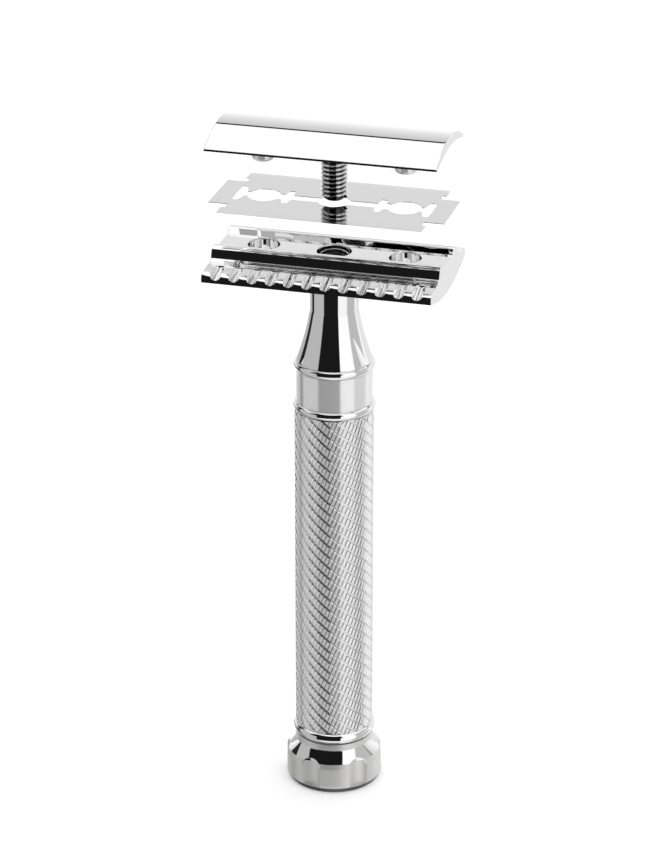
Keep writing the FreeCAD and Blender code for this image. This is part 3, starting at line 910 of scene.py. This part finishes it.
class RAZOR_OT_knob(bpy.types.Operator):
    """Fluted knob with a coved waist, and its foot"""

    bl_idname = "razor.knob"
    bl_label = "Knob and foot"

    def execute(self, context):
        size = context.scene.razor_handle
        rim, waist = size.knob_radius / MM, 7.25
        land_top, bevel_top, waist_z = KNOB_Z + 4.8, KNOB_Z + 5.6, KNOB_TOP - 1.2
        bevel = rim - 0.3
        ring_top = KNOB_Z + 0.7
        socket, hub, bore, screw_way = 3.0, 3.9, 2.0, 1.25
        line = turned_line((socket, KNOB_Z)).to(
            (rim - 0.35, KNOB_Z), (rim - 0.15, ring_top - 0.05), (rim, ring_top))
        line.to(*[(rim, ring_top + (land_top - ring_top) * k / 6) for k in range(1, 7)])
        line.to((bevel, bevel_top))
        cove = (waist + 0.46 * (bevel - waist), waist_z - 0.52 * (waist_z - bevel_top))
        line.arc(cove, (waist, waist_z), 24)
        hub_top, web_top, web = KNOB_TOP + 3.0, KNOB_Z + 3.7, KNOB_Z + 2.7
        line.to(
            (waist, KNOB_TOP), (hub, KNOB_TOP), (hub, hub_top), (bore, hub_top), (bore, web_top),
            (screw_way, web_top), (screw_way, web), (socket, web))
        mesh = ease(turn(line.close(), FINE_LATHE_STEPS), 0.1, 3, 18.0)
        self.cut_flutes(mesh, size, rim)
        knob = as_object("fluted_knob", mesh)
        tones = context.scene.razor_finish
        finish(knob, "knob", ["knob"], satin_chrome("knob", tones.satin, 0.31))
        knob.data.materials.append(polished_chrome())
        dark = inner_metal("foot_steel", tones.foot, 0.3)
        knob.data.materials.append(dark)
        for face in knob.data.polygons:
            centre = face.center
            if centre.z < (ring_top - 0.1) * MM:
                face.material_index = 2
            in_cove = bevel_top * MM < centre.z < waist_z * MM
            if in_cove and math.hypot(centre.x, centre.y) > waist * MM:
                face.material_index = 1
        foot_low, foot_high = 8.5, 8.72
        foot = turned_line((0.0, FOOT_Z)).to((foot_low, FOOT_Z), (foot_high, KNOB_Z), (0.0, KNOB_Z))
        mesh = ease(turn(foot.mesh, LATHE_STEPS), 0.05, 2, 30.0)
        finish(as_object("foot", mesh), "knob", ["foot_disc"], dark)
        return {"FINISHED"}

    def cut_flutes(self, mesh, size, rim):
        """Draw the rim in to the hollow of each flute, with eased corners."""
        low, high, inside = KNOB_Z + 0.65, KNOB_TOP - 0.5, 7.6
        half = math.radians(12.5)
        deep = size.flute_depth / MM
        chord, sag = rim * math.sin(half), rim * math.cos(half) - (rim - deep)
        radius = (chord * chord + sag * sag) / (2 * sag)
        away = rim - deep + radius
        step, blend = math.tau / size.flutes, 0.03
        start = math.radians(15.5 - 90.0)
        for vert in mesh.verts:
            here = math.hypot(vert.co.x, vert.co.y)
            if here < inside or not low < vert.co.z < high:
                continue
            angle = (math.atan2(vert.co.y, vert.co.x) - start) % step - step / 2
            side = radius * radius - (away * math.sin(angle)) ** 2
            if side <= 0.0:
                continue
            floor = away * math.cos(angle) - math.sqrt(side)
            share = max(blend - abs(here - floor), 0.0) / blend
            new = min(here, floor) - share * share * blend / 4
            vert.co.x *= new / here
            vert.co.y *= new / here


class RAZOR_OT_works(bpy.types.Operator):
    """Finishes of the draw mechanism inside the handle"""

    bl_idname = "razor.works"
    bl_label = "Inner works"

    def execute(self, context):
        tones = context.scene.razor_finish
        steel = inner_metal("stainless", tones.steel, 0.22)
        brass = inner_metal("brass", tones.brass, 0.28)
        acetal = inner_polymer("acetal", tones.acetal, 0.45)
        rubber = inner_polymer("rubber", tones.rubber, 0.6)
        finishes = {
            "core_tube": brass, "draw_nut": steel, "draw_rod": steel, "nut_pin": steel,
            "spring_washer": steel, "thrust_washer": steel, "retaining_clip": steel, "knob_screw": steel,
            "upper_bush": acetal, "lower_bush": acetal, "rubber_ring": rubber,
        }
        for node, material in finishes.items():
            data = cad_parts[node].data
            data.materials.clear()
            data.materials.append(material)
        return {"FINISHED"}


# ---- stage -----------------------------------------------------------------


class RAZOR_OT_stage(bpy.types.Operator):
    """White table, soft studio surroundings and the camera"""

    bl_idname = "razor.stage"
    bl_label = "Stage"

    azimuth = math.radians(15.31)
    elevation = math.radians(23.88)
    distance, shift_right, shift_up = 0.59, -0.00031, -0.03241

    def execute(self, context):
        self.table()
        self.surroundings(context.scene)
        self.camera(context.scene)
        context.scene.view_settings.view_transform = "Standard"
        return {"FINISHED"}

    def table(self):
        mesh = bmesh.new()
        bmesh.ops.create_circle(mesh, cap_ends=True, segments=64, radius=4000.0)
        table = as_object("table", mesh)

        def surface(graph):
            point = graph.place()[0]
            paper = graph.grain(point, 40.0)
            white = graph.colour_mix(paper, (0.93, 0.93, 0.93, 1.0), (0.91, 0.91, 0.91, 1.0))
            return {"Base Color": white, "Roughness": paper * 0.1 + 0.8}

        constants = {
            "Emission Color": (1.0, 1.0, 1.0, 1.0), "Emission Strength": 0.4, "Specular IOR Level": 0.0}
        table.data.materials.append(new_material("white_table", constants, surface))
        table.visible_glossy = False

    def surroundings(self, scene):
        """Soft boxes, cards and their gaps, as a tone for every direction."""
        world = bpy.data.worlds.new("studio")
        world.use_nodes = True
        scene.world = world
        graph = Graph(world.node_tree)
        direction = graph.add("ShaderNodeTexCoord", output=0)
        x, y, z = graph.parts(direction)
        sine, cosine = math.sin(self.azimuth), math.cos(self.azimuth)
        right, front = x * cosine + y * sine, x * sine - y * cosine
        degrees = 180.0 / math.pi
        turn_angle = right.of("ARCTAN2", front) * degrees
        height = z.of("ARCSINE") * degrees
        over = z.of("ARCTAN2", y) * degrees
        gap, side_tone, back_tone, line_tone, card_tone = 0.52, 0.55, 0.86, 0.02, 0.01
        tone = graph.rise(height, -60.0, 20.0, 0.92, 1.15)
        low = graph.rise(height, 34.0, 50.0, 1.0, 0.0)
        tone = self.paint(tone, graph.between(turn_angle, -150.0, -45.0, 2.0) * low, gap)
        tone = self.paint(tone, graph.between(turn_angle, 62.0, 109.0, 3.0) * low, side_tone)
        tone = self.paint(tone, graph.between(turn_angle, 118.0, 172.0, 6.0) * low, back_tone)
        tone = self.paint(tone, graph.between(turn_angle, -124.0, -107.0, 0.5) * low, line_tone)
        card = graph.between(turn_angle, -49.0, 18.0, 1.5) * graph.between(height, -33.0, 58.0, 1.5)
        tone = self.paint(tone, card, card_tone)
        broad = graph.between(turn_angle, -73.0, 25.0, 1.5) * graph.between(height, 20.0, 58.0, 1.5)
        tone = self.paint(tone, broad, card_tone)
        behind = graph.between(over, 0.0, 39.5, 0.4)
        fading = graph.add("ShaderNodeMapRange", None, {0: over, 1: 4.0, 2: 39.5, 3: 1.06, 4: 0.62})
        tone = self.paint(tone, behind, fading)
        tone = self.paint(tone, graph.between(over, 37.6, 40.6, 0.15), line_tone)
        bounced = graph.add("ShaderNodeBackground", None, {1: tone})
        seen = graph.add("ShaderNodeBackground", None, {1: 1.0})
        for shade in (bounced, seen):
            shade.socket.node.inputs[0].default_value = (1.0, 1.0, 1.0, 1.0)
        straight = graph.add("ShaderNodeLightPath", output=0)
        mixed = graph.add("ShaderNodeMixShader", None, {0: straight, 1: bounced, 2: seen})
        graph.add("ShaderNodeOutputWorld", None, {0: mixed})

    def paint(self, tone, mask, level):
        """The tone with a level laid over it where the mask is one."""
        return tone * (1.0 - mask) + mask * level

    def camera(self, scene):
        data = bpy.data.cameras.new("camera")
        data.sensor_width = 36.0
        data.lens = 137.8
        data.clip_start, data.clip_end = 0.01, 20.0
        camera = bpy.data.objects.new("camera", data)
        scene.collection.objects.link(camera)
        sine, cosine = math.sin(self.azimuth), math.cos(self.azimuth)
        tilt, level = math.sin(self.elevation), math.cos(self.elevation)
        back = Vector((sine * level, -cosine * level, tilt))
        right = Vector((cosine, sine, 0.0))
        up = Vector((-sine * tilt, cosine * tilt, level))
        target = Vector((0.0, 0.0, FLOOR_Z * MM))
        camera.location = target + back * self.distance + right * self.shift_right + up * self.shift_up
        camera.rotation_euler = (math.pi / 2 - self.elevation, 0.0, self.azimuth)
        scene.camera = camera


# ---- add-on ----------------------------------------------------------------


BUILDERS = (
    RAZOR_OT_stage, RAZOR_OT_cap, RAZOR_OT_stud, RAZOR_OT_posts, RAZOR_OT_blade, RAZOR_OT_plate,
    RAZOR_OT_neck, RAZOR_OT_collar, RAZOR_OT_grip, RAZOR_OT_knob, RAZOR_OT_works,
)


class RAZOR_PT_sidebar(bpy.types.Panel):
    """Lists the razor's sizes and the pieces to build"""

    bl_idname = "RAZOR_PT_sidebar"
    bl_label = "Safety razor"
    bl_space_type = "VIEW_3D"
    bl_region_type = "UI"
    bl_category = "Razor"

    def draw(self, context):
        for name in ("razor_head", "razor_handle", "razor_finish"):
            group = getattr(context.scene, name)
            box = self.layout.box()
            for key in type(group).__annotations__:
                box.prop(group, key)
        for builder in BUILDERS:
            self.layout.operator(builder.bl_idname)


GROUPS = {"razor_head": RazorHeadSizes, "razor_handle": RazorHandleSizes, "razor_finish": RazorFinish}


def register():
    for kind in (*GROUPS.values(), *BUILDERS, RAZOR_PT_sidebar):
        bpy.utils.register_class(kind)
    for name, kind in GROUPS.items():
        setattr(bpy.types.Scene, name, PointerProperty(type=kind))


def unregister():
    for name in GROUPS:
        delattr(bpy.types.Scene, name)
    for kind in (RAZOR_PT_sidebar, *reversed(BUILDERS), *reversed(GROUPS.values())):
        bpy.utils.unregister_class(kind)


def main():
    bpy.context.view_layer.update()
    register()
    for builder in BUILDERS:
        group, name = builder.bl_idname.split(".")
        getattr(getattr(bpy.ops, group), name)()


if __name__ == "__main__":
    main()
